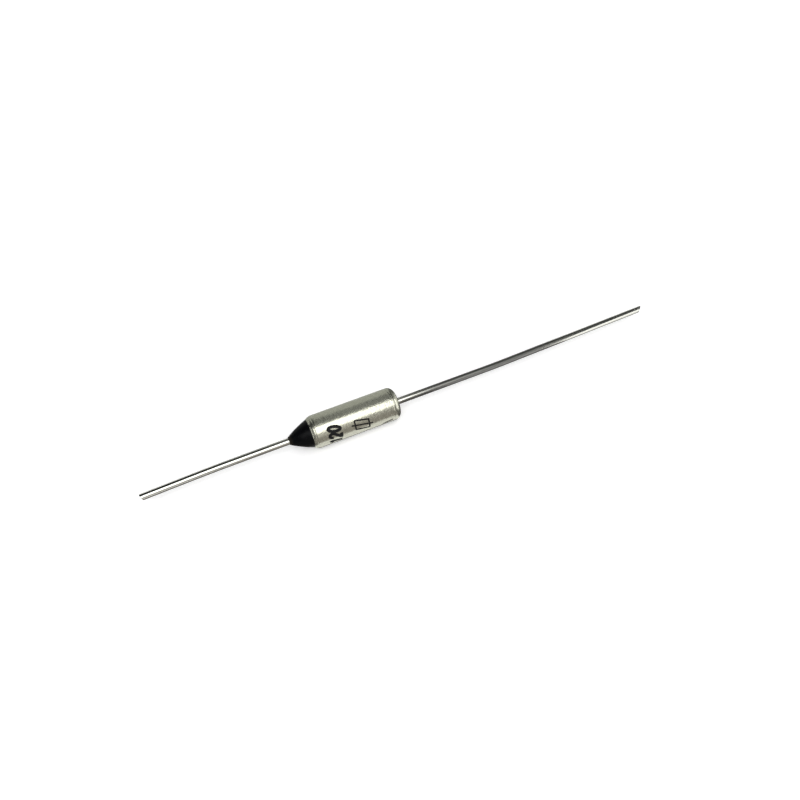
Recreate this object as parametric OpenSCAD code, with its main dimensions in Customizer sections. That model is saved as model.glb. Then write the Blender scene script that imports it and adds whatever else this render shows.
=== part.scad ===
// Thermal cut-off with axial leads, in millimetres.
// +X runs along the barrel towards the case lead, +Z is up.
// The origin is the middle of the case, on its axis.

/* [Case] */
// Outer diameter of the case
case_d = 4; // [3.8:0.1:6]
// Length of the case from its rolled mouth to its closed end
case_l = 11; // [10.5:0.1:14]
// Wall of the case round the spring chamber
chamber_wall = 0.4; // [0.34:0.02:0.46]
// Wall of the case round the bushing, where the mouth is bored wider
mouth_wall = 0.25; // [0.16:0.01:0.3]
// Thickness of the closed end
end_wall = 0.8; // [0.6:0.05:1.1]
// Outside corner radius of the closed end
shoulder_r = 0.75; // [0.4:0.05:1]
// Length of the mouth's edge that is rolled in over the resin
rim_l = 0.75; // [0.5:0.05:0.85]
// Radius of the arc along which the outside of that edge is rolled in
rim_arc_r = 1.15; // [1.05:0.05:1.6]
// Diameter of the low boss round the case lead
boss_d = 1.3; // [1.1:0.05:1.6]
// Height of the boss beyond the closed end
boss_h = 0.2; // [0.1:0.05:0.4]
// Rounding of the boss's outer edge
boss_round = 0.08; // [0.02:0.01:0.1]

/* [Leads] */
// Diameter of both lead wires
lead_d = 0.8; // [0.6:0.05:0.9]
// Length of the case lead beyond the closed end
case_lead_l = 35.5; // [25:0.5:45]
// Straight run of the case lead before its slight bend
case_lead_run = 11.5; // [3:0.5:13]
// Angle of the case lead's slight bend
case_lead_bend = 1.4; // [0.5:0.1:2]
// Length of the isolated lead beyond the resin
isolated_lead_l = 17.4; // [15:0.2:30]
// Straight run of the isolated lead before its slight bend
isolated_lead_run = 7.4; // [2:0.2:8]
// Angle of the isolated lead's slight bend
isolated_lead_bend = 1.4; // [0.5:0.1:2]
// Radius of the slight bend in each wire
bend_r = 160; // [60:10:180]
// Diameter of the head inside the closed end
head_d = 1.5; // [1.2:0.05:1.8]
// Thickness of that head
head_t = 0.35; // [0.2:0.05:0.4]
// Share of the room between the isolated lead and the trip spring that the collar fills
collar_share = 0.45; // [0.3:0.05:0.7]
// Thickness of that collar
collar_t = 0.3; // [0.2:0.05:0.5]
// Chamfer round the isolated lead's contact tip
tip_chamfer = 0.1; // [0.04:0.02:0.16]
// Slant of the snipped end of the case lead
case_snip = 42; // [10:1:50]
// Slant of the snipped end of the isolated lead
isolated_snip = 18; // [5:1:40]

/* [Seal] */
// Length of the resin cone outside the case
cone_l = 2.6; // [1.8:0.1:4]
// Thickness of resin round the lead at the cone's tip
cone_lip = 0.05; // [0.02:0.01:0.15]
// Length of the ceramic bushing
bushing_l = 2.4; // [1.8:0.1:2.8]
// Chamfer round both ends of the bushing
bushing_chamfer = 0.1; // [0.05:0.01:0.14]

/* [Contact] */
// Room between the bushing and the star contact, which the trip spring fills
contact_room = 1.05; // [0.9:0.05:1.3]
// Thickness of the star contact's sheet
star_t = 0.12; // [0.08:0.01:0.16]
// Height of the star's fingers along the case
finger_h = 0.5; // [0.4:0.05:0.7]
// Inside radius of the bend where the fingers turn up
finger_bend_r = 0.18; // [0.12:0.02:0.24]
// Number of fingers
finger_count = 8; // [6:1:12]
// Width of the slots between the fingers
slot_w = 0.26; // [0.16:0.02:0.4]
// Distance that the slots reach in from the place where the fingers begin to bend
slot_reach = 0.08; // [0.04:0.02:0.14]
// Gap between the case and the disc that lies on the star contact
contact_disc_gap = 0.15; // [0.05:0.01:0.25]
// Thickness of that disc
contact_disc_t = 0.2; // [0.1:0.05:0.3]

/* [Springs] */
// Distance of the weak trip spring from the place where the star's fingers begin to bend
trip_spring_gap = 0.13; // [0.08:0.01:0.2]
// Wire of the trip spring
trip_wire_d = 0.2; // [0.14:0.02:0.22]
// Turns of the trip spring
trip_turns = 2.5; // [2:0.25:2.75]
// Gap between the case and the strong barrel spring
barrel_spring_gap = 0.25; // [0.15:0.01:0.35]
// Wire of the barrel spring
barrel_wire_d = 0.3; // [0.2:0.02:0.36]
// Turns of the barrel spring
barrel_turns = 4; // [3:0.25:4.25]

/* [Pellet] */
// Length of the thermal pellet
pellet_l = 3; // [2.4:0.1:3.2]
// Chamfer round both ends of the pellet
pellet_chamfer = 0.15; // [0.05:0.01:0.25]
// Gap between the case and the disc that lies on the pellet
pellet_disc_gap = 0.12; // [0.05:0.01:0.25]
// Thickness of that disc
pellet_disc_t = 0.25; // [0.1:0.05:0.35]

/* [Fits] */
// Gap round the lead wires in the case, the bushing and the resin
lead_gap = 0.01; // [0.01:0.005:0.03]
// Gap round the bushing and the resin in the mouth
mouth_gap = 0.01; // [0.01:0.005:0.02]
// Gap round the pellet and the star's fingers in the chamber
chamber_gap = 0.02; // [0.01:0.01:0.04]
// Gap round the head in the closed end
head_gap = 0.01; // [0.01:0.005:0.03]

/* [Hidden] */
$fn = 96;

// Radii that the pieces share
case_r = case_d / 2;
chamber_r = case_r - chamber_wall;
mouth_r = case_r - mouth_wall;
lead_r = lead_d / 2;
lead_hole_r = lead_r + lead_gap;
head_r = head_d / 2;

// Radii of the star contact, out to where its fingers begin to bend, and of the springs
star_r = chamber_r - chamber_gap;
finger_arc_r = finger_bend_r + star_t;
star_flat_r = star_r - finger_arc_r;
trip_spring_r = star_flat_r - trip_spring_gap - trip_wire_d / 2;
barrel_spring_r = chamber_r - barrel_spring_gap - barrel_wire_d / 2;
collar_r = lead_r + collar_share * (trip_spring_r - trip_wire_d / 2 - lead_r);

// Radius of the rolled rim's outer edge, where the resin cone begins
rim_edge_r = case_r - rim_arc_r + sqrt(rim_arc_r * rim_arc_r - rim_l * rim_l);

// Places along the axis, from the mouth to the closed end
mouth_x = -case_l / 2;
bushing_x = mouth_x + rim_l;
step_x = bushing_x + bushing_l;
star_x = step_x + contact_room;
contact_disc_x = star_x + star_t;
barrel_spring_x = contact_disc_x + contact_disc_t;
end_x = case_l / 2;
end_wall_x = end_x - end_wall;
pellet_x = end_wall_x - pellet_l;
pellet_disc_x = pellet_x - pellet_disc_t;
shoulder_x = end_x - shoulder_r;
cone_tip_x = mouth_x - cone_l;

// Steps round one turn of a spring, and sides of its wire
turn_steps = 24;
wire_sides = 8;
// Share of a turn that lies flat at each end of a spring
flat_turn_share = 0.4;
// Overrun of every cut
over = 1;
// Necking of a wire where it is bent, and how far the neck runs on into the straights
bend_neck = 0.004;
bend_lap = 0.1;
// Angle about a wire between straight up and the long side of its snipped end
snip_side = 45;

// Solid turned about the X axis from a half section: radius across, X up
module turned() {
    rotate([0, 90, 0])
        rotate_extrude()
            children();
}

// Half section of the last stretch at the mouth, where an outline of radius r is
// rolled in along an arc
module rolled_section(r, arc_r) {
    translate([0, mouth_x])
        square([r - arc_r, rim_l]);
    intersection() {
        translate([r - arc_r, bushing_x])
            circle(arc_r);
        translate([0, mouth_x])
            square([r, rim_l]);
    }
}

// Half section of a disc from x to x + t, with a chamfer at both edges
module chamfered_section(r, x, t, chamfer) {
    polygon([
        [0, x], [r - chamfer, x], [r, x + chamfer],
        [r, x + t - chamfer], [r - chamfer, x + t], [0, x + t]
    ]);
}

// Half section of a disc from x to x + t, with its far edge rounded
module rounded_section(r, x, t, edge_r) {
    if (t > edge_r)
        translate([0, x])
            square([r, t - edge_r]);
    translate([0, x])
        square([r - edge_r, t]);
    translate([r - edge_r, x + t - edge_r])
        circle(edge_r);
}

// Rest of a wire that leaves the origin along +X and is straight for the length run: a
// slight bend towards +Y and a straight tail, whose end is snipped slanting
module bent_tail(run, bend, l, snip, side) {
    tail_l = (l - run - bend_r * sin(bend)) / cos(bend);
    lap_angle = asin(bend_lap / bend_r);
    translate([run, bend_r, 0]) {
        rotate([0, 0, -90 - lap_angle])
            rotate_extrude(angle = bend + 2 * lap_angle)
                translate([bend_r, 0])
                    circle(lead_r - bend_neck);
        rotate([0, 0, bend])
            translate([0, -bend_r, 0])
                difference() {
                    rotate([0, 90, 0])
                        cylinder(r = lead_r, h = tail_l);
                    translate([tail_l, 0, 0])
                        rotate([side, 0, 0])
                            translate([-lead_r * tan(snip), 0, 0])
                                rotate([0, snip, 0])
                                    translate([lead_d, 0, 0])
                                        cube(2 * lead_d, center = true);
                }
    }
}

// Points and faces of a coil spring along +X, with its ends lying flat. The wire's
// section has flats across the axis, so each end seats on its neighbour's face.
module coil_spring(x, l, mean_r, wire_d, turns) {
    steps = round(turns * turn_steps);
    corner_r = wire_d / 2 / cos(180 / wire_sides);
    function rise(turn) =
        min(1, max(0, (turn - flat_turn_share) / (turns - 2 * flat_turn_share)));
    function corner(step, side) = let (
        around = 360 * turns * step / steps,
        across = 360 * (side + 0.5) / wire_sides,
        r = mean_r + corner_r * cos(across),
        up = wire_d / 2 + (l - wire_d) * rise(turns * step / steps)
    ) [up + corner_r * sin(across), r * cos(around), r * sin(around)];
    points = [
        for (step = [0 : steps], side = [0 : wire_sides - 1]) corner(step, side)
    ];
    function at(step, side) = step * wire_sides + side % wire_sides;
    skin = [
        for (step = [0 : steps - 1], side = [0 : wire_sides - 1], half = [0, 1])
            half == 0
            ? [at(step, side), at(step, side + 1), at(step + 1, side + 1)]
            : [at(step, side), at(step + 1, side + 1), at(step + 1, side)]
    ];
    caps = [
        [for (side = [wire_sides - 1 : -1 : 0]) at(0, side)],
        [for (side = [0 : wire_sides - 1]) at(steps, side)]
    ];
    translate([x, 0, 0])
        polyhedron(points, concat(skin, caps));
}

// Drawn metal cup: the closed end is pierced for the case lead, and the mouth is
// bored wider for the bushing and rolled in over the resin
module case() {
    color([0.76, 0.75, 0.69])
        turned()
            difference() {
                union() {
                    rolled_section(case_r, rim_arc_r);
                    translate([0, bushing_x])
                        square([case_r, shoulder_x - bushing_x]);
                    rounded_section(case_r, shoulder_x, shoulder_r, shoulder_r);
                    rounded_section(boss_d / 2, shoulder_x, shoulder_r + boss_h, boss_round);
                }
                rolled_section(mouth_r, rim_arc_r - mouth_wall);
                translate([0, bushing_x])
                    square([mouth_r, bushing_l]);
                translate([0, step_x])
                    square([chamber_r, end_wall_x - step_x]);
                translate([0, end_wall_x])
                    square([head_r + head_gap, head_t]);
                translate([0, end_wall_x])
                    square([lead_hole_r, end_wall + boss_h + over]);
            }
}

// Tinned copper wire, staked in the closed end by a head that lies flush inside
module case_lead() {
    color([0.72, 0.72, 0.70]) {
        turned()
            polygon([
                [0, end_wall_x], [head_r, end_wall_x], [head_r, end_wall_x + head_t],
                [lead_r, end_wall_x + head_t], [lead_r, end_x + case_lead_run],
                [0, end_x + case_lead_run]
            ]);
        translate([end_x, 0, 0])
            bent_tail(case_lead_run, case_lead_bend, case_lead_l, case_snip, -snip_side);
    }
}

// Tinned copper wire through the resin and the bushing, with a collar that stops it
// there and a tip that presses on the star contact
module isolated_lead() {
    color([0.72, 0.72, 0.70]) {
        turned()
            polygon([
                [0, cone_tip_x - isolated_lead_run], [lead_r, cone_tip_x - isolated_lead_run],
                [lead_r, step_x], [collar_r, step_x], [collar_r, step_x + collar_t],
                [lead_r, step_x + collar_t], [lead_r, star_x - tip_chamfer],
                [lead_r - tip_chamfer, star_x], [0, star_x]
            ]);
        translate([cone_tip_x, 0, 0])
            rotate([0, 0, 180])
                bent_tail(
                    isolated_lead_run,
                    isolated_lead_bend,
                    isolated_lead_l,
                    isolated_snip,
                    snip_side
                );
    }
}

// Resin poured into the rolled mouth and drawn up to a cone round the lead
module sealing_resin() {
    color([0.03, 0.03, 0.04])
        turned()
            difference() {
                union() {
                    rolled_section(mouth_r - mouth_gap, rim_arc_r - mouth_wall - mouth_gap);
                    polygon([
                        [0, cone_tip_x], [lead_r + cone_lip, cone_tip_x],
                        [rim_edge_r, mouth_x], [0, mouth_x]
                    ]);
                }
                translate([0, cone_tip_x - over])
                    square([lead_hole_r, cone_l + rim_l + 2 * over]);
            }
}

// Ceramic tube that insulates the lead from the case and seats on the step in its bore
module ceramic_bushing() {
    color([0.93, 0.92, 0.88])
        turned()
            difference() {
                chamfered_section(mouth_r - mouth_gap, bushing_x, bushing_l, bushing_chamfer);
                translate([0, bushing_x - over])
                    square([lead_hole_r, bushing_l + 2 * over]);
            }
}

// Weak spring that pushes the star contact off the lead once the pellet has melted
module trip_spring() {
    color([0.62, 0.62, 0.64])
        coil_spring(step_x, contact_room, trip_spring_r, trip_wire_d, trip_turns);
}

// Silver-plated sheet with fingers that turn up and bear on the bore of the case
module star_contact() {
    color([0.84, 0.84, 0.82])
        difference() {
            turned() {
                translate([0, star_x])
                    square([star_flat_r, star_t]);
                difference() {
                    intersection() {
                        translate([star_flat_r, contact_disc_x - finger_arc_r])
                            circle(finger_arc_r);
                        translate([star_flat_r, contact_disc_x - finger_arc_r])
                            square(finger_arc_r);
                    }
                    translate([star_flat_r, contact_disc_x - finger_arc_r])
                        circle(finger_bend_r);
                }
                translate([star_r - star_t, contact_disc_x - finger_h])
                    square([star_t, finger_h - finger_arc_r]);
            }
            for (i = [0 : finger_count - 1])
                rotate([360 * i / finger_count, 0, 0])
                    translate([
                        contact_disc_x - finger_h - over,
                        -slot_w / 2,
                        star_flat_r - slot_reach
                    ])
                        cube([finger_h + 2 * over, slot_w, chamber_r]);
        }
}

// Disc that spreads the barrel spring's load over the star contact
module contact_disc() {
    color([0.70, 0.69, 0.66])
        translate([contact_disc_x, 0, 0])
            rotate([0, 90, 0])
                cylinder(r = chamber_r - contact_disc_gap, h = contact_disc_t);
}

// Strong spring that holds the star contact on the lead while the pellet is solid
module barrel_spring() {
    color([0.58, 0.58, 0.60])
        coil_spring(
            barrel_spring_x,
            pellet_disc_x - barrel_spring_x,
            barrel_spring_r,
            barrel_wire_d,
            barrel_turns
        );
}

// Disc that spreads the barrel spring's load over the pellet
module pellet_disc() {
    color([0.70, 0.69, 0.66])
        translate([pellet_disc_x, 0, 0])
            rotate([0, 90, 0])
                cylinder(r = chamber_r - pellet_disc_gap, h = pellet_disc_t);
}

// Pressed pellet of an organic compound that melts at the rated temperature
module thermal_pellet() {
    color([0.86, 0.80, 0.66])
        turned()
            chamfered_section(chamber_r - chamber_gap, pellet_x, pellet_l, pellet_chamfer);
}

case();
case_lead();
isolated_lead();
sealing_resin();
ceramic_bushing();
trip_spring();
star_contact();
contact_disc();
barrel_spring();
pellet_disc();
thermal_pellet();
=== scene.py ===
import math

import bmesh
import bpy
from mathutils import Matrix, Vector, noise


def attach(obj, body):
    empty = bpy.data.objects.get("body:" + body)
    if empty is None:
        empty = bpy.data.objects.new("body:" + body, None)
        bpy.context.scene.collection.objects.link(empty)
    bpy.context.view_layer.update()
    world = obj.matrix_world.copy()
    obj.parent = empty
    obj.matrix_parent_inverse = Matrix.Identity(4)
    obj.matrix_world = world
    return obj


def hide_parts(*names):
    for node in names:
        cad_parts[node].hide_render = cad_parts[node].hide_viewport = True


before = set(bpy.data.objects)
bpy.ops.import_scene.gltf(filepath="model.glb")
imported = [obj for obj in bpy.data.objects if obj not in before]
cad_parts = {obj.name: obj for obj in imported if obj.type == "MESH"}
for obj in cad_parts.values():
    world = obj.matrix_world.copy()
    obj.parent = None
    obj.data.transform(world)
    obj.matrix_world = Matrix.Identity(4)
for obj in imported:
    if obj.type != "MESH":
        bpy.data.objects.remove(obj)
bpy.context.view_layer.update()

# ---- Camera ------------------------------------------------------------------------
# A close view from the print's side and above, from a hand's width away. The barrel
# sits left of the middle of a square picture, and its wires run up to the right.
mm = 0.001
picture_pixels = 800
sensor_width = 36
focal_length = 34.77
barrel_distance = 91.3 * mm
barrel_pixel = (353.6, 417.55)
heading = math.radians(65.5)
tilt = math.radians(53.8)

forward = Vector(
    (
        math.cos(tilt) * math.cos(heading),
        math.cos(tilt) * math.sin(heading),
        -math.sin(tilt),
    )
)
right = Vector((math.sin(heading), -math.cos(heading), 0))
up = right.cross(forward)
pixel_size = barrel_distance * sensor_width / focal_length / picture_pixels
middle = picture_pixels / 2
aim = (
    right * (middle - barrel_pixel[0]) * pixel_size
    + up * (barrel_pixel[1] - middle) * pixel_size
)

camera = bpy.data.objects.new("camera", bpy.data.cameras.new("camera"))
camera.data.lens = focal_length
camera.data.sensor_width = sensor_width
camera.data.clip_start = 5 * mm
camera.data.clip_end = 10
camera.location = aim - forward * barrel_distance
camera.rotation_euler = Matrix((right, up, -forward)).transposed().to_euler()
scene = bpy.context.scene
scene.collection.objects.link(camera)
scene.camera = camera
scene.view_settings.view_transform = "Standard"


# ---- Table, room and lamp ----------------------------------------------------------
# The part lies on a sheet of matt white card under one broad diffuser overhead. Grey
# cards that only reflections see stand in for the rest of the room.
def linear(code):
    """Linear colour with alpha from an sRGB hex code."""
    shares = [int(code[i : i + 2], 16) / 255 for i in (1, 3, 5)]
    colour = [s / 12.92 if s <= 0.04045 else ((s + 0.055) / 1.055) ** 2.4 for s in shares]
    return colour + [1]


def add_node(tree, kind, inputs=None, **settings):
    """Adds a node with its settings. An input takes a value, a node or a socket."""
    made = tree.nodes.new("ShaderNode" + kind)
    for name, value in settings.items():
        setattr(made, name, value)
    for name, value in (inputs or {}).items():
        socket = next(
            s for s in made.inputs if name in (s.identifier, s.name) and s.enabled
        )
        if isinstance(value, bpy.types.Node):
            value = next(s for s in value.outputs if s.enabled)
        if isinstance(value, bpy.types.NodeSocket):
            tree.links.new(value, socket)
        else:
            socket.default_value = value
    return made


def new_material(name):
    """Material with an empty node tree."""
    material = bpy.data.materials.new(name)
    material.use_nodes = True
    material.node_tree.nodes.clear()
    return material


def finish_material(material, surface):
    """Sets the shader that the material shows."""
    add_node(material.node_tree, "OutputMaterial", {"Surface": surface})


def sees_background(tree):
    """1 for what the camera sees straight, mirrored or through glass, 0 for stray light."""
    path = add_node(tree, "LightPath")
    seen = add_node(
        tree,
        "Math",
        {
            "Value": path.outputs["Is Camera Ray"],
            "Value_001": path.outputs["Is Glossy Ray"],
        },
        operation="ADD",
    )
    return add_node(
        tree,
        "Math",
        {"Value": seen, "Value_001": path.outputs["Is Transmission Ray"]},
        operation="ADD",
        use_clamp=True,
    )


def add_mesh(name, vertices, faces, material):
    """New mesh object with that material."""
    mesh = bpy.data.meshes.new(name)
    mesh.from_pydata([tuple(v) for v in vertices], [], faces)
    mesh.materials.append(material)
    made = bpy.data.objects.new(name, mesh)
    scene.collection.objects.link(made)
    return made


def card_strip(name, edges, sides, material):
    """Card that runs through the (y, z) edges. Each of its two sides starts from a place
    on the part's axis and spreads at an angle in degrees from square on.
    """
    corners = [
        (start + math.hypot(*edge) * math.tan(math.radians(angle)), *edge)
        for edge in edges
        for start, angle in sides
    ]
    faces = [(i, i + 1, i + 3, i + 2) for i in range(0, len(corners) - 2, 2)]
    card = add_mesh(name, corners, faces, material)
    return card


white = linear("#ffffff")
table_height = -2 * mm
table_reach = 500 * mm
stray_light = 0.9
table_shade = 0.8
# In view the card is lifted until only the shadow close to the part falls below white
table_shade_in_view = 0.9
table_lift_in_view = 0.3

room = bpy.data.worlds.new("room")
scene.world = room
room.use_nodes = True
tree = room.node_tree
tree.nodes.clear()
direction = add_node(
    tree, "SeparateXYZ", {"Vector": add_node(tree, "TexCoord").outputs["Generated"]}
)
ceiling_light = add_node(
    tree,
    "MapRange",
    {"Value": direction.outputs["Z"], "To Min": 0, "To Max": stray_light},
)
room_light = add_node(
    tree,
    "Mix",
    {"Factor_Float": sees_background(tree), "A_Float": ceiling_light, "B_Float": 1},
    data_type="FLOAT",
)
room_shader = add_node(tree, "Background", {"Color": white, "Strength": room_light})
add_node(tree, "OutputWorld", {"Surface": room_shader})

white_card = new_material("white_card")
tree = white_card.node_tree
in_view = sees_background(tree)
table_colour = add_node(
    tree,
    "MapRange",
    {"Value": in_view, "To Min": table_shade, "To Max": table_shade_in_view},
)
table_glow = add_node(
    tree, "MapRange", {"Value": in_view, "To Min": 0, "To Max": table_lift_in_view}
)
table_paint = add_node(tree, "BsdfDiffuse", {"Color": table_colour})
table_white = add_node(tree, "Emission", {"Color": white, "Strength": table_glow})
table_skin = add_node(
    tree, "AddShader", {"Shader": table_paint, "Shader_001": table_white}
)
finish_material(white_card, table_skin)
card_strip(
    "table",
    [(-table_reach, table_height), (table_reach, table_height)],
    [(-table_reach, 0), (table_reach, 0)],
    white_card,
)

# Places in the room are given as the part sees them: how far round its axis from the
# near horizon over the top, and how far along its axis from square on
room_size = 1200 * mm
wall_panes = 4


def seen_at(round_axis):
    """(y, z), on the room's wall, of what is seen at that angle round the part's axis."""
    angle = math.radians(round_axis)
    return (-room_size * math.cos(angle), room_size * math.sin(angle))


def seen_along(angle):
    """Offset, at the room's wall, of what is seen that many degrees from square on."""
    return room_size * math.tan(math.radians(angle))


lamp_low, lamp_high = 39, 82
lamp_left, lamp_right = seen_along(-38), seen_along(16.4)
lamp_radiance = 2.3
lamp_middle = (lamp_low + lamp_high) / 2
diffuser = bpy.data.lights.new("diffuser", "AREA")
diffuser.shape = "RECTANGLE"
diffuser.size = lamp_right - lamp_left
diffuser.size_y = 2 * seen_along((lamp_high - lamp_low) / 2)
diffuser.energy = lamp_radiance * math.pi * diffuser.size * diffuser.size_y
diffuser_lamp = bpy.data.objects.new("diffuser", diffuser)
diffuser_lamp.location = ((lamp_left + lamp_right) / 2, *seen_at(lamp_middle))
diffuser_lamp.rotation_euler = (math.radians(90 - lamp_middle), 0, 0)
diffuser_lamp.visible_camera = False
scene.collection.objects.link(diffuser_lamp)


def wall(low, high):
    """Edges of the room's curved wall between two angles round the part's axis."""
    return [seen_at(low + (high - low) * i / wall_panes) for i in range(wall_panes + 1)]


def room_card(name, edges, sides, shade, strength=1):
    """Card of an even shade that only reflections see."""
    paper = new_material(name)
    glow = add_node(
        paper.node_tree, "Emission", {"Color": linear(shade), "Strength": strength}
    )
    finish_material(paper, glow)
    card = card_strip(name, edges, sides, paper)
    card.visible_camera = False
    card.visible_diffuse = False
    card.visible_transmission = False
    card.visible_shadow = False
    card.visible_volume_scatter = False


# What the metal mirrors on either side of the part. The cards' edges are angles round
# its axis, and their sides are places on its axis, each with an angle from square on
card_height = table_height + 0.02 * mm
floor_reach = 5 * mm
near, far = (-floor_reach, card_height), (floor_reach, card_height)
floor_end, tip_top, end_top, far_end, far_wire_end = 8, 30, 44, 134, 152
lamp_edge = lamp_high + 2
near_floor, near_wall = [near, seen_at(floor_end)], wall(floor_end, lamp_low)
left_end, left = (0, -60), (-8 * mm, -38)
cone, lead_root = (-6.5 * mm, 6.5), (5.6 * mm, 13.8)
lamp_side, tip = (6 * mm, 18.5), (30.5 * mm, 27.6)
wire_end, past_wire, right_end = (36.5 * mm, 30.6), (41 * mm, 35.5), (0, 65)
for name, edges, first, last, shade, strength in (
    ("near_floor", near_floor, left, lead_root, "#aaa5a1", 1),
    ("near_wall", near_wall, left, lead_root, "#e2deda", 1),
    ("side_floor", near_floor, lead_root, tip, "#5e5e5d", 1),
    ("side_wall", near_wall, lead_root, tip, "#5e5e5d", 1),
    ("side_roof", wall(lamp_low, lamp_edge), lamp_side, tip, "#5e5e5d", 1),
    ("tip_floor", near_floor, tip, right_end, "#ffffff", 1.8),
    ("tip_wall", wall(floor_end, tip_top), tip, wire_end, "#ffffff", 1.8),
    ("tip_roof", wall(tip_top, lamp_edge), tip, wire_end, "#4c4e4e", 1),
    ("end_wall", wall(floor_end, end_top), wire_end, right_end, "#ffffff", 1.8),
    ("end_roof", wall(end_top, lamp_edge), wire_end, past_wire, "#4c4e4e", 1),
    ("past_roof", wall(end_top, lamp_edge), past_wire, right_end, "#ffffff", 2.6),
    ("far_floor_left", [far, seen_at(far_wire_end)], left, cone, "#b4b6b2", 1),
    ("far_floor_middle", [far, seen_at(far_end)], cone, lead_root, "#c6c8c4", 1),
    ("far_floor_right", [far, seen_at(far_wire_end)], lead_root, right_end, "#707271", 1),
    ("far_left", wall(far_wire_end, lamp_edge), left, cone, "#343636", 1),
    ("far_middle", wall(far_end, lamp_edge), cone, lead_root, "#babcba", 1),
    ("far_right", wall(far_wire_end, lamp_edge), lead_root, past_wire, "#484a4a", 1),
    ("far_past", wall(far_wire_end, lamp_edge), past_wire, right_end, "#a0a2a0", 1),
    ("left_near", [near, *near_wall], left_end, left, "#202225", 1),
    ("left_roof", wall(lamp_low, far_end), left_end, left, "#202225", 1),
    ("left_far", [far, seen_at(far_end)], left_end, left, "#202225", 1),
):
    room_card(name, edges, (first, last), shade, strength)

# What it mirrors from the table right under the part, darker than the white table around
# it. The dark card under the case is painted shade: the contact shadow, as the case's lower
# edge mirrors it
for name, first, last, reach, shade in (
    ("left_wire_floor", -27 * mm, -6.2 * mm, floor_reach, "#85827f"),
    ("right_wire_floor", 6 * mm, 30.5 * mm, floor_reach, "#6c6a68"),
    ("tip_wire_floor", 30.5 * mm, 43 * mm, 2 * mm, "#a8a8a5"),
    # Painted shade: the case's mirrored contact shadow
    ("case_painted_shadow", -5.2 * mm, 5.2 * mm, 1.8 * mm, "#404040"),
):
    edges = [(-reach, card_height), (reach, card_height)]
    room_card(name, edges, ((first, 0), (last, 0)), shade)

# ---- Case --------------------------------------------------------------------------
# Brass cup, deep-drawn and plated with a satin tin-nickel that is faintly mottled and
# a little warm. Its mouth is bored wider and rolled in, and its closed end is rounded.
case_radius = 2 * mm
case_length = 11 * mm
chamber_radius = 1.6 * mm
mouth_radius = 1.75 * mm
end_wall = 0.8 * mm
shoulder_radius = 0.75 * mm
rim_length = 0.75 * mm
rim_arc_radius = 1.15 * mm
bushing_length = 2.4 * mm
boss_radius = 0.65 * mm
boss_height = 0.2 * mm
boss_round = 0.08 * mm
head_pocket_radius = 0.76 * mm
head_thickness = 0.35 * mm
lead_hole_radius = 0.41 * mm

mouth = -case_length / 2
closed_end = case_length / 2
rim_end = mouth + rim_length
bore_step = rim_end + bushing_length
shoulder = closed_end - shoulder_radius
end_wall_place = closed_end - end_wall


def on_arc(centre, radius, angle):
    """Point (x, radius) of an arc, at that angle in degrees from the X axis."""
    turn = math.radians(angle)
    return (centre[0] + radius * math.cos(turn), centre[1] + radius * math.sin(turn))


def arc(centre, radius, start, stop, steps):
    """Points (x, radius) along an arc between two angles in degrees from the X axis."""
    return [
        on_arc(centre, radius, start + (stop - start) * i / steps) for i in range(steps + 1)
    ]


def turned(name, outline, sides, material, crease=35):
    """Solid turned about the X axis from a closed outline of (x, radius) points."""
    points, faces, rings = [], [], []
    for x, radius in outline:
        count = sides if radius > 0 else 1
        rings.append([len(points) + (i % count) for i in range(sides)])
        for i in range(count):
            angle = 2 * math.pi * i / sides
            points.append((x, radius * math.cos(angle), radius * math.sin(angle)))
    for this, other in zip(rings, rings[1:] + rings[:1]):
        for i in range(sides):
            j = (i + 1) % sides
            corners = list(dict.fromkeys((this[i], this[j], other[j], other[i])))
            if len(corners) > 2:
                faces.append(corners)
    piece = add_mesh(name, points, faces, material)
    smooth(piece, crease)
    return piece


def smooth(piece, crease):
    """Turns the faces outwards and shades them smooth, but for creases over that angle."""
    shell = bmesh.new()
    shell.from_mesh(piece.data)
    bmesh.ops.recalc_face_normals(shell, faces=shell.faces)
    shell.to_mesh(piece.data)
    shell.free()
    piece.data.shade_smooth()
    piece.data.set_sharp_from_angle(angle=math.radians(crease))


def add_noise(tree, grain, stretch=(1, 1, 1), detail=3):
    """Noise whose grains are that long, drawn out by the stretch along each axis."""
    place = add_node(tree, "TexCoord")
    spread = add_node(
        tree,
        "Mapping",
        {"Vector": place.outputs["Object"], "Scale": [1 / s for s in stretch]},
    )
    return add_node(
        tree, "TexNoise", {"Vector": spread, "Scale": 1 / grain, "Detail": detail}
    )


def mixed(tree, share, first, second):
    """Colour that turns from the first to the second as the share goes from 0 to 1."""
    return add_node(
        tree,
        "Mix",
        {"Factor_Float": share, "A_Color": first, "B_Color": second},
        data_type="RGBA",
    )


# Satin tin-nickel plate: a cloudy pale metal, its skin finely pitted by the drawing. The
# real pits are under 0.1 mm, and are drawn coarser here so that they show as a grain
cloud_width = 0.35 * mm
pit_width = 0.26 * mm
pit_depth = 0.018 * mm
satin_plate = new_material("satin_plate")
tree = satin_plate.node_tree
clouds = add_noise(tree, cloud_width)
pits = add_noise(tree, pit_width, detail=2)
plate_colour = mixed(tree, clouds, linear("#a9a99a"), linear("#cdcdbe"))
plate_sheen = add_node(tree, "MapRange", {"Value": clouds, "To Min": 0.2, "To Max": 0.32})
plate_skin = add_node(tree, "Bump", {"Height": pits, "Distance": pit_depth})
finish_material(
    satin_plate,
    add_node(
        tree,
        "BsdfPrincipled",
        {
            "Base Color": plate_colour,
            "Metallic": 1,
            "Roughness": plate_sheen,
            "Normal": plate_skin,
        },
    ),
)

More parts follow.
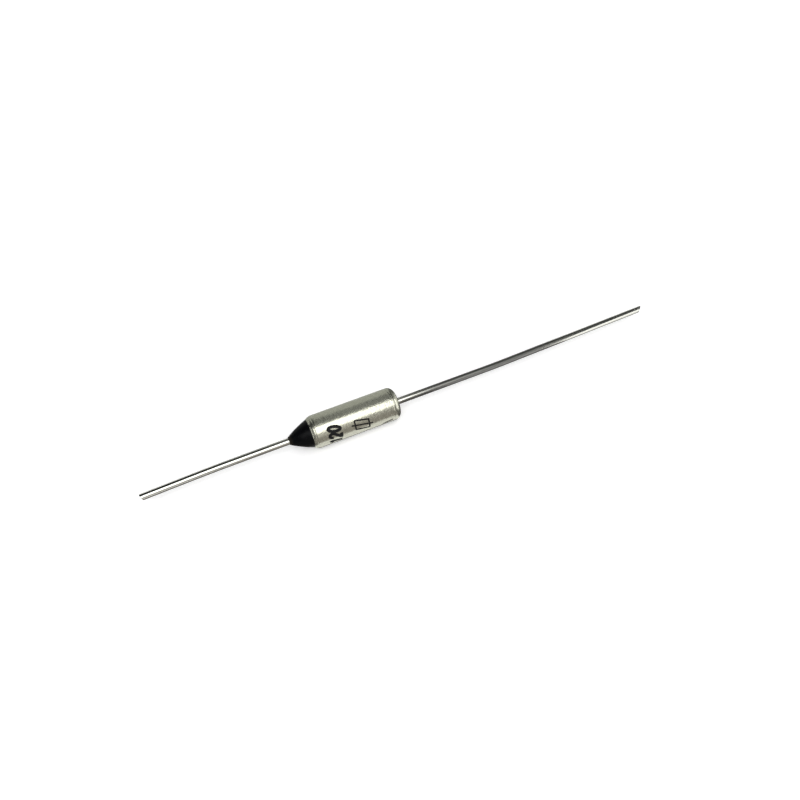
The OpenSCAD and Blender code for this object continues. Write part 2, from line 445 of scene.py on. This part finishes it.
barrel_sides = 160
rim_steps, rim_top_steps, bore_steps, shoulder_steps, boss_steps = 9, 6, 10, 16, 6
rim_edge = case_radius - rim_arc_radius + math.sqrt(rim_arc_radius**2 - rim_length**2)
bore_arc_radius = rim_arc_radius - (case_radius - mouth_radius)
rim_angle = math.degrees(math.asin(rim_length / rim_arc_radius))
bore_angle = math.degrees(math.asin(rim_length / bore_arc_radius))
rim_centre = (rim_end, case_radius - rim_arc_radius)
shoulder_centre = (shoulder, case_radius - shoulder_radius)
boss_centre = (closed_end + boss_height - boss_round, boss_radius - boss_round)

# Two fine rings that the tools leave: one on the rolled rim, one before the shoulder
ring_width = 0.12 * mm
ring_depth = 0.025 * mm
rim_ring_angle = 105
rim_ring_half = math.degrees(ring_width / 2 / rim_arc_radius)
shoulder_ring = shoulder - 0.15 * mm
before_ring, after_ring = rim_ring_angle + rim_ring_half, rim_ring_angle - rim_ring_half

case_outline = (
    arc(rim_centre, rim_arc_radius, 90 + rim_angle, before_ring, rim_steps)
    + [on_arc(rim_centre, rim_arc_radius - ring_depth, rim_ring_angle)]
    + arc(rim_centre, rim_arc_radius, after_ring, 90, rim_top_steps)
    + [
        (shoulder_ring - ring_width / 2, case_radius),
        (shoulder_ring, case_radius - ring_depth),
        (shoulder_ring + ring_width / 2, case_radius),
    ]
    + arc(shoulder_centre, shoulder_radius, 90, 0, shoulder_steps)
    + [(closed_end, boss_radius)]
    + arc(boss_centre, boss_round, 90, 0, boss_steps)
    + [
        (closed_end + boss_height, lead_hole_radius),
        (end_wall_place + head_thickness, lead_hole_radius),
        (end_wall_place + head_thickness, head_pocket_radius),
        (end_wall_place, head_pocket_radius),
        (end_wall_place, chamber_radius),
        (bore_step, chamber_radius),
        (bore_step, mouth_radius),
    ]
    + arc(rim_centre, bore_arc_radius, 90, 90 + bore_angle, bore_steps)
)
case = turned("case_cup", case_outline, barrel_sides, satin_plate, crease=20)
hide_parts("case")
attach(case, "root")

# ---- Pellet, discs, springs and contact --------------------------------------------
# The stack that the case holds: a pressed organic pellet between brass discs, two
# coiled steel springs, and a silver-plated star whose fingers bear on the case.
grain_depth = 0.02 * mm


def grained(name, light, dark, grain, roughness, metallic, bump):
    """Material that varies between two colours over grains of that length."""
    made = new_material(name)
    tree = made.node_tree
    grains = add_noise(tree, grain)
    colour = mixed(tree, grains, linear(dark), linear(light))
    relief = add_node(
        tree, "Bump", {"Height": grains, "Strength": bump, "Distance": grain_depth}
    )
    shader = add_node(
        tree,
        "BsdfPrincipled",
        {
            "Base Color": colour,
            "Metallic": metallic,
            "Roughness": roughness,
            "Normal": relief,
        },
    )
    finish_material(made, shader)
    return made


# Pressed organic compound: chalky, cream and faintly speckled
pellet_compound = grained("pellet_compound", "#efe6cd", "#dccfae", 0.2 * mm, 0.85, 0, 0.4)
# Stamped brass: yellow, with a dull rolled face
rolled_brass = grained("rolled_brass", "#d9b870", "#c6a35c", 0.3 * mm, 0.35, 1, 0.1)
# Drawn spring steel: grey and evenly bright
spring_steel = grained("spring_steel", "#b4b4b8", "#9c9ca0", 0.1 * mm, 0.3, 1, 0.1)
# Silver plate: white and softly bright
silver_plate = grained("silver_plate", "#eceae4", "#dcdad2", 0.3 * mm, 0.22, 1, 0.08)
# Unglazed steatite: matt, white and finely grained
steatite = grained("steatite", "#f2efe6", "#e3dfd4", 0.12 * mm, 0.7, 0, 0.3)

for node_name, finish in {
    "thermal_pellet": pellet_compound,
    "pellet_disc": rolled_brass,
    "contact_disc": rolled_brass,
    "barrel_spring": spring_steel,
    "trip_spring": spring_steel,
    "star_contact": silver_plate,
    "ceramic_bushing": steatite,
}.items():
    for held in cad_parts[node_name].material_slots:
        held.material = finish

# ---- Leads -------------------------------------------------------------------------
# Copper wire, drawn, tinned bright and snipped off slanting. The case lead is staked
# in the closed end by its head; the isolated lead has a collar behind its contact tip.
lead_radius = 0.4 * mm
bend_radius = 160 * mm
lead_bend = math.radians(1.4)
ring_spacing = 0.5 * mm
lead_sides = 48

case_lead_length = 35.5 * mm
case_lead_run = 11.5 * mm
case_lead_snip = math.radians(42)
head_radius = 0.75 * mm

isolated_lead_length = 17.4 * mm
isolated_lead_run = 7.4 * mm
isolated_lead_snip = math.radians(18)
cone_length = 2.6 * mm
contact_room = 1.05 * mm
collar_radius = 0.6475 * mm
collar_thickness = 0.3 * mm
tip_chamfer = 0.1 * mm

cone_tip = mouth - cone_length
star_place = bore_step + contact_room


def along_axis(tree):
    """Place along the part's axis."""
    place = add_node(tree, "TexCoord").outputs["Object"]
    return add_node(tree, "SeparateXYZ", {"Vector": place}).outputs["X"]


# Bright tin over drawn copper: a mirror drawn out into faint lines along the wire, and
# scuffed dull in one stretch where it was held.
# That stretch is also painted grey: painted shade for the dark room the wire mirrors there
draw_line_width, draw_line_depth = 0.06 * mm, 0.005 * mm
handling_width = 0.9 * mm
scuff_width, scuff_depth = 0.2 * mm, 0.006 * mm
scuffed_shaded_middle, scuffed_shaded_reach, scuffed_shaded_fade = 18 * mm, 7.5 * mm, 5 * mm
bright_tin = new_material("bright_tin")
tree = bright_tin.node_tree
draw_lines = add_noise(tree, draw_line_width, stretch=(30, 1, 1), detail=2)
handling = add_noise(tree, handling_width, stretch=(4, 1, 1))
scuffs = add_noise(tree, scuff_width, stretch=(2, 1, 1), detail=2)
from_scuffed_shaded = add_node(
    tree,
    "Math",
    {"Value": along_axis(tree), "Value_001": scuffed_shaded_middle},
    operation="SUBTRACT",
)
off_scuffed_shaded = add_node(tree, "Math", {"Value": from_scuffed_shaded}, operation="ABSOLUTE")
scuffed_and_shaded = add_node(
    tree,
    "MapRange",
    {
        "Value": off_scuffed_shaded,
        "From Min": scuffed_shaded_reach,
        "From Max": scuffed_shaded_reach + scuffed_shaded_fade,
        "To Min": 1,
        "To Max": 0,
    },
)
clean_colour = mixed(tree, handling, linear("#c6c6be"), linear("#d6d6ce"))
# Painted shade: the scuffed stretch is darkened towards grey
tin_colour = mixed(tree, scuffed_and_shaded, clean_colour, linear("#858581"))
clean_sheen = add_node(
    tree, "MapRange", {"Value": handling, "To Min": 0.06, "To Max": 0.16}
)
tin_sheen = add_node(
    tree, "Mix", {"Factor_Float": scuffed_and_shaded, "A_Float": clean_sheen, "B_Float": 0.28}
)
drawn_skin = add_node(
    tree, "Bump", {"Height": draw_lines, "Strength": 0.15, "Distance": draw_line_depth}
)
tin_skin = add_node(
    tree,
    "Bump",
    {
        "Height": scuffs,
        "Strength": scuffed_and_shaded,
        "Distance": scuff_depth,
        "Normal": drawn_skin,
    },
)
finish_material(
    bright_tin,
    add_node(
        tree,
        "BsdfPrincipled",
        {
            "Base Color": tin_colour,
            "Metallic": 1,
            "Roughness": tin_sheen,
            "Normal": tin_skin,
        },
    ),
)


def wire_rings(start, stop):
    """(x, radius) points along a stretch of plain wire."""
    count = max(1, round(abs(stop - start) / ring_spacing))
    return [(start + (stop - start) * i / count, lead_radius) for i in range(count + 1)]


def straight_length(run, length):
    """Length of a wire beyond its root, before it is bent to reach that far."""
    tail = (length - run - bend_radius * math.sin(lead_bend)) / math.cos(lead_bend)
    return run + bend_radius * lead_bend + tail


def bend_and_snip(wire, root, way, run, length, snip):
    """Bends a straight wire that leaves root along way, 1 or -1 on X, and snips its end."""
    end = straight_length(run, length)
    for vertex in wire.data.vertices:
        out = way * (vertex.co.x - root)
        y, z = vertex.co.y, vertex.co.z
        if out > end - ring_spacing / 2:
            slant = (y + z) / math.sqrt(2) - lead_radius
            out = end + slant * math.tan(snip)
        if out > run:
            turn = min((out - run) / bend_radius, lead_bend)
            rest = out - run - bend_radius * turn
            offset = bend_radius - way * y
            onward = run + offset * math.sin(turn) + rest * math.cos(turn)
            aside = bend_radius - offset * math.cos(turn) + rest * math.sin(turn)
            vertex.co.x = root + way * onward
            vertex.co.y = way * aside
    wire.data.update()


head_end = end_wall_place + head_thickness
case_lead_end = closed_end + straight_length(case_lead_run, case_lead_length)
case_lead_outline = [
    (end_wall_place, 0),
    (end_wall_place, head_radius),
    (head_end, head_radius),
    *wire_rings(head_end, case_lead_end),
    (case_lead_end, 0),
]
case_lead = turned("case_side_wire", case_lead_outline, lead_sides, bright_tin)
bend_and_snip(case_lead, closed_end, 1, case_lead_run, case_lead_length, case_lead_snip)
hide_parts("case_lead")
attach(case_lead, "root")

isolated_end = cone_tip - straight_length(isolated_lead_run, isolated_lead_length)
isolated_lead_outline = [
    (star_place, 0),
    (star_place, lead_radius - tip_chamfer),
    (star_place - tip_chamfer, lead_radius),
    (bore_step + collar_thickness, lead_radius),
    (bore_step + collar_thickness, collar_radius),
    (bore_step, collar_radius),
    *wire_rings(bore_step, isolated_end),
    (isolated_end, 0),
]
isolated_lead = turned("resin_side_wire", isolated_lead_outline, lead_sides, bright_tin)
bend_and_snip(
    isolated_lead, cone_tip, -1, isolated_lead_run, isolated_lead_length, isolated_lead_snip
)
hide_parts("isolated_lead")
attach(isolated_lead, "root")

# ---- Resin -------------------------------------------------------------------------
# Black epoxy, poured into the mouth over the bushing and drawn up the wire to a cone
# as it cured. It is glossy, a little uneven, and brown where it is thin on the wire.
cone_lip = 0.05 * mm
mouth_gap = 0.01 * mm
plug_arc_radius = bore_arc_radius - mouth_gap
plug_angle = math.degrees(math.asin(rim_length / plug_arc_radius))
fullness = 0.08 * mm
unevenness = 0.04 * mm
unevenness_grain = 1.1 * mm
cone_steps = 24

# Filled epoxy, cast in the open: nearly black, softly glossy and faintly rippled
resin_cloud_width = 0.8 * mm
thin_edge_length = 0.45 * mm
ripple_width, ripple_depth = 0.25 * mm, 0.02 * mm
black_epoxy = new_material("black_epoxy")
tree = black_epoxy.node_tree
clouding = add_noise(tree, resin_cloud_width)
thin_edge = add_node(
    tree,
    "MapRange",
    {
        "Value": along_axis(tree),
        "From Min": cone_tip,
        "From Max": cone_tip + thin_edge_length,
        "To Min": 1,
        "To Max": 0,
    },
)
body_colour = mixed(tree, clouding, linear("#040406"), linear("#08090b"))
resin_colour = mixed(tree, thin_edge, body_colour, linear("#24201a"))
resin_sheen = add_node(tree, "MapRange", {"Value": clouding, "To Min": 0.2, "To Max": 0.38})
ripples = add_noise(tree, ripple_width)
resin_skin = add_node(
    tree, "Bump", {"Height": ripples, "Strength": 0.15, "Distance": ripple_depth}
)
finish_material(
    black_epoxy,
    add_node(
        tree,
        "BsdfPrincipled",
        {
            "Base Color": resin_colour,
            "Roughness": resin_sheen,
            "Specular IOR Level": 0.1,
            "Normal": resin_skin,
        },
    ),
)

cone_start = (cone_tip, lead_radius + cone_lip)
cone_end = (mouth, rim_edge)
resin_outline = [
    (cone_tip, lead_hole_radius),
    *[
        tuple(a + (b - a) * i / cone_steps for a, b in zip(cone_start, cone_end))
        for i in range(cone_steps + 1)
    ],
    *arc(rim_centre, plug_arc_radius, 90 + plug_angle, 90, bore_steps),
    (rim_end, lead_hole_radius),
]
resin = turned("resin_cone", resin_outline, barrel_sides, black_epoxy)
for vertex in resin.data.vertices:
    if cone_tip < vertex.co.x < mouth:
        swell = noise.noise(vertex.co / unevenness_grain)
        share = math.sin(math.pi * (vertex.co.x - cone_tip) / cone_length)
        swelling = (fullness + unevenness * swell) * share
        scale = 1 + swelling / math.hypot(vertex.co.y, vertex.co.z)
        vertex.co.y *= scale
        vertex.co.z *= scale
resin.data.update()
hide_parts("sealing_resin")
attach(resin, "root")

# ---- Print -------------------------------------------------------------------------
# Black ink, stamped on the case by a rubber pad: a plain number, a fuse's sign and a
# short bar, read round the barrel with their tops towards the cone.
ink_height = 0.006 * mm
ink_depth = 0.01 * mm
ink_strips = 6
ink_step = 0.08 * mm

# Pad-printing ink: matt black, and a little uneven where the pad left it thin
blotch_width = 0.15 * mm
pad_ink = new_material("pad_ink")
tree = pad_ink.node_tree
blotches = add_noise(tree, blotch_width)
ink_colour = mixed(tree, blotches, linear("#080808"), linear("#121211"))
finish_material(
    pad_ink,
    add_node(
        tree,
        "BsdfPrincipled",
        {"Base Color": ink_colour, "Roughness": 0.6, "Specular IOR Level": 0.2},
    ),
)


def stroke(points, width):
    """Corners and faces of one inked line on the case. Points are (x, degrees round it)."""
    flat = [(x, case_radius * math.radians(a)) for x, a in points]
    steps = [max(1, round(math.dist(p, q) / ink_step)) for p, q in zip(flat, flat[1:])]
    line = [
        (p[0] + (q[0] - p[0]) * i / n, p[1] + (q[1] - p[1]) * i / n)
        for p, q, n in zip(flat, flat[1:], steps)
        for i in range(n)
    ] + [flat[-1]]
    across = [2 * i / ink_strips - 1 for i in range(ink_strips + 1)]
    section = [(way, case_radius + ink_height) for way in across]
    section += [(way, case_radius - ink_depth) for way in reversed(across)]
    corners, faces = [], []
    for i, (x, s) in enumerate(line):
        before, after = line[max(i - 1, 0)], line[min(i + 1, len(line) - 1)]
        length = math.dist(before, after)
        side = (-(after[1] - before[1]) / length, (after[0] - before[0]) / length)
        for way, radius in section:
            angle = (s + way * side[1] * width / 2) / case_radius
            corners.append(
                (
                    x + way * side[0] * width / 2,
                    -radius * math.cos(angle),
                    radius * math.sin(angle),
                )
            )
    count = len(section)
    for i in range(len(line) - 1):
        a, b = count * i, count * (i + 1)
        faces += [
            (a + k, a + (k + 1) % count, b + (k + 1) % count, b + k) for k in range(count)
        ]
    last = count * (len(line) - 1)
    faces += [tuple(reversed(range(count))), tuple(range(last, last + count))]
    return corners, faces


# The figures stand side by side round the case, so that their width, pitch and start are
# in degrees. The slant is in degrees for each mm along the case
figure_foot = -2.25 * mm
figure_height = 1.4 * mm
figure_width = 17
figure_pitch = 25.5
first_figure = -20.5
print_slant = -6


def on_print(along, angle):
    """Point of the print, which was stamped a little askew."""
    return (along, angle + print_slant * (along - figure_foot) / mm)


def figure(place, outline):
    """A figure of the number, from points (across, up) that are shares of its size."""
    start = first_figure + place * figure_pitch
    return [
        on_print(figure_foot - up * figure_height, start + across * figure_width)
        for across, up in outline
    ]


def bow(middle, reach, stop, step):
    """Points of a figure's bow, from its left side over its top."""
    return [
        (0.5 - 0.5 * math.cos(math.radians(a)), middle + reach * math.sin(math.radians(a)))
        for a in range(0, stop + 1, step)
    ]


one = [(0.15, 0.75), (0.6, 1), (0.6, 0)]
two = bow(0.72, 0.28, 210, 15) + [(0, 0), (1, 0)]
nought = bow(0.5, 0.5, 360, 12)
figures = [figure(place, outline) for place, outline in enumerate((one, two, nought))]
sign_left, sign_right = -0.45 * mm, 1.25 * mm
sign_low, sign_high = 22, 56
sign_middle = (sign_low + sign_high) / 2
wire_reach = 0.45 * mm
sign_body = [
    (sign_left, sign_high),
    (sign_right, sign_high),
    (sign_right, sign_low),
    (sign_left, sign_low),
    (sign_left, sign_high),
]
sign_wire = [(sign_left - wire_reach, sign_middle), (sign_right + wire_reach, sign_middle)]
sign = [[on_print(*point) for point in line] for line in (sign_body, sign_wire)]
bar = [[(2.9 * mm, -13), (4.2 * mm, -6)]]
figure_stroke, sign_stroke, bar_stroke = 0.38 * mm, 0.19 * mm, 0.22 * mm

corners, faces = [], []
for group, width in ((figures, figure_stroke), (sign, sign_stroke), (bar, bar_stroke)):
    for points in group:
        more_corners, more_faces = stroke(points, width)
        faces += [tuple(len(corners) + k for k in face) for face in more_faces]
        corners += more_corners
ink = add_mesh("case_print", corners, faces, pad_ink)
smooth(ink, crease=30)
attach(ink, "root")
